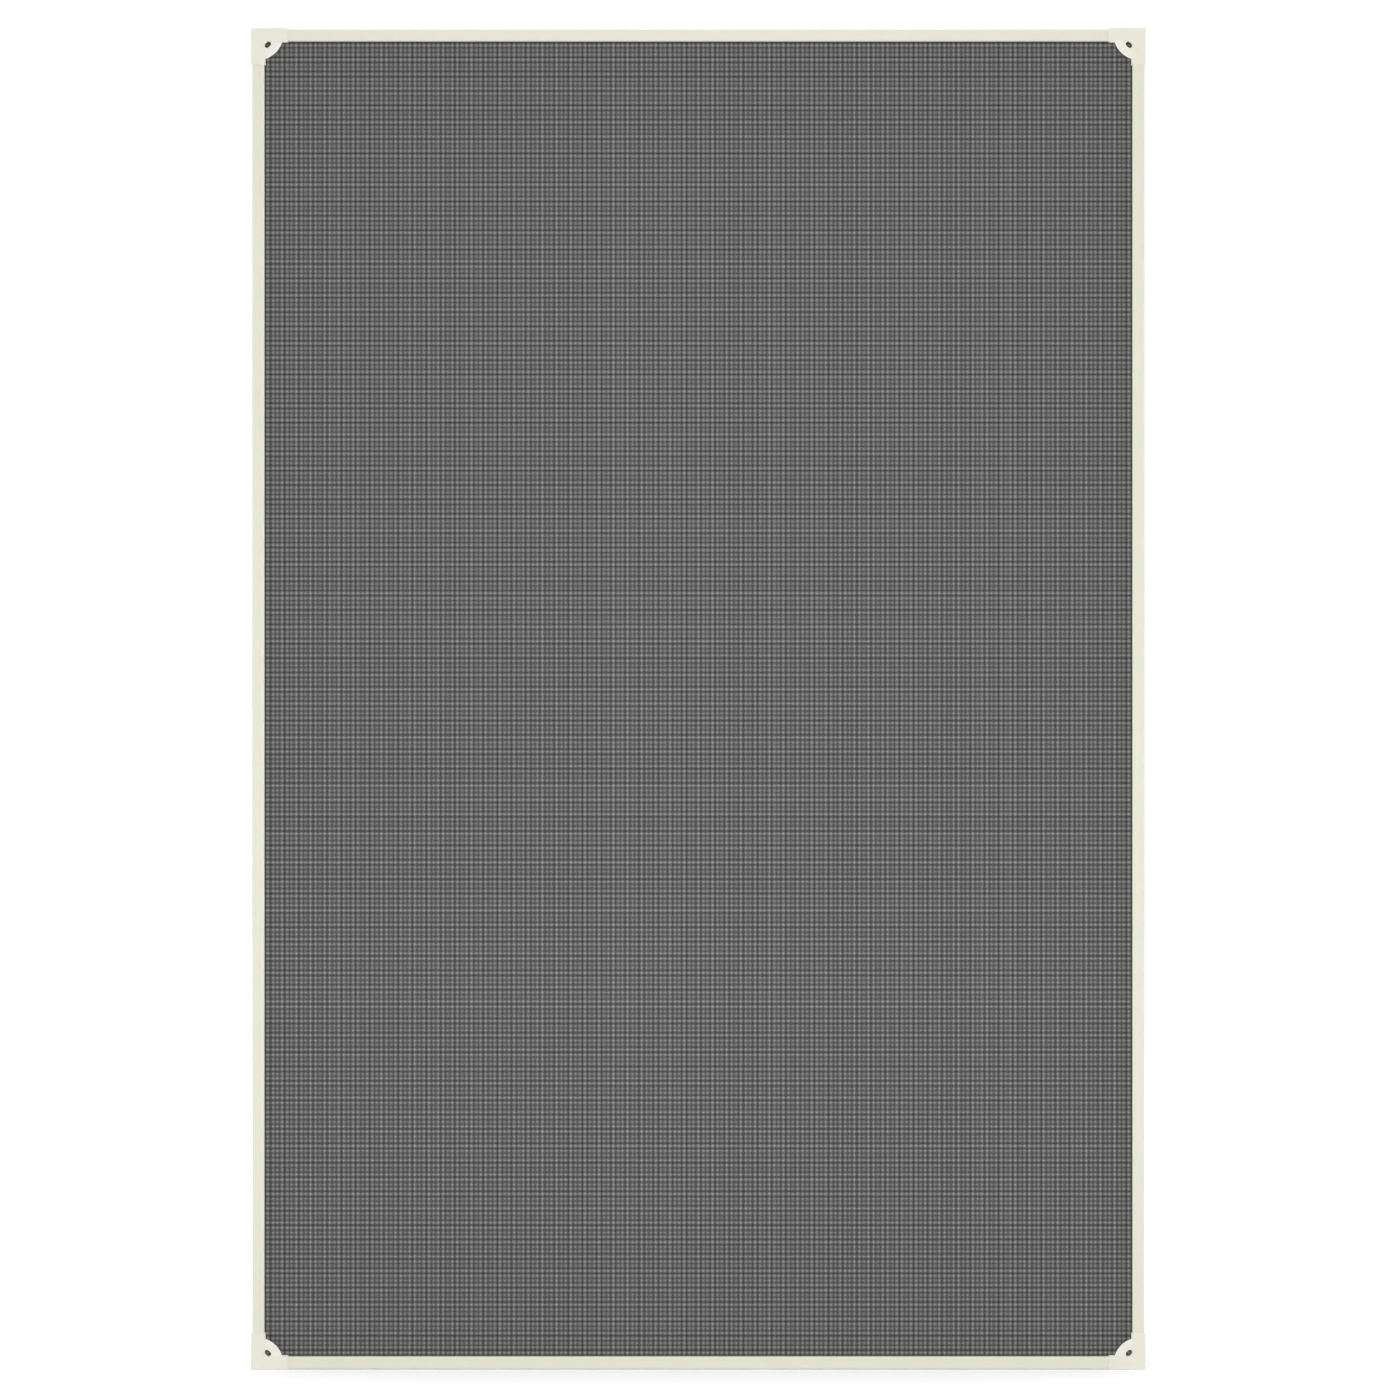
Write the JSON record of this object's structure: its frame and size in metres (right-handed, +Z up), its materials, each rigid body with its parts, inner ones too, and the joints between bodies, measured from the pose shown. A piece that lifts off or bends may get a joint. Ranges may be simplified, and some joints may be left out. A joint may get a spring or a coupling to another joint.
{
  "type": "window screen frame",
  "caption": "Slim rectangular window insect screen: cream channel rails on moulded corner pieces with slotted webs, and dark woven mesh held by a cord in a groove.",
  "frame": {"origin": "middle of the bottom edge, midway between front and back", "axes": "+Z up along the long sides, +X to the right seen from the front, -Y out of the front face"},
  "size_m": [0.6096, 0.0094, 0.9144],
  "materials": {
    "frame_paint": "satin",
    "corner_plastic": "satin",
    "mesh_yarn": "matte",
    "spline_vinyl": "matte"
  },
  "bodies": {
    "root": {"bottom_rail": "frame_paint", "top_rail": "frame_paint", "left_rail": "frame_paint", "right_rail": "frame_paint", "corner_bottom_left": "corner_plastic", "corner_bottom_right": "corner_plastic", "corner_top_left": "corner_plastic", "corner_top_right": "corner_plastic", "screen_mesh": "mesh_yarn", "spline_bottom": "spline_vinyl", "spline_top": "spline_vinyl", "spline_left": "spline_vinyl", "spline_right": "spline_vinyl"}
  },
  "joints": []
}
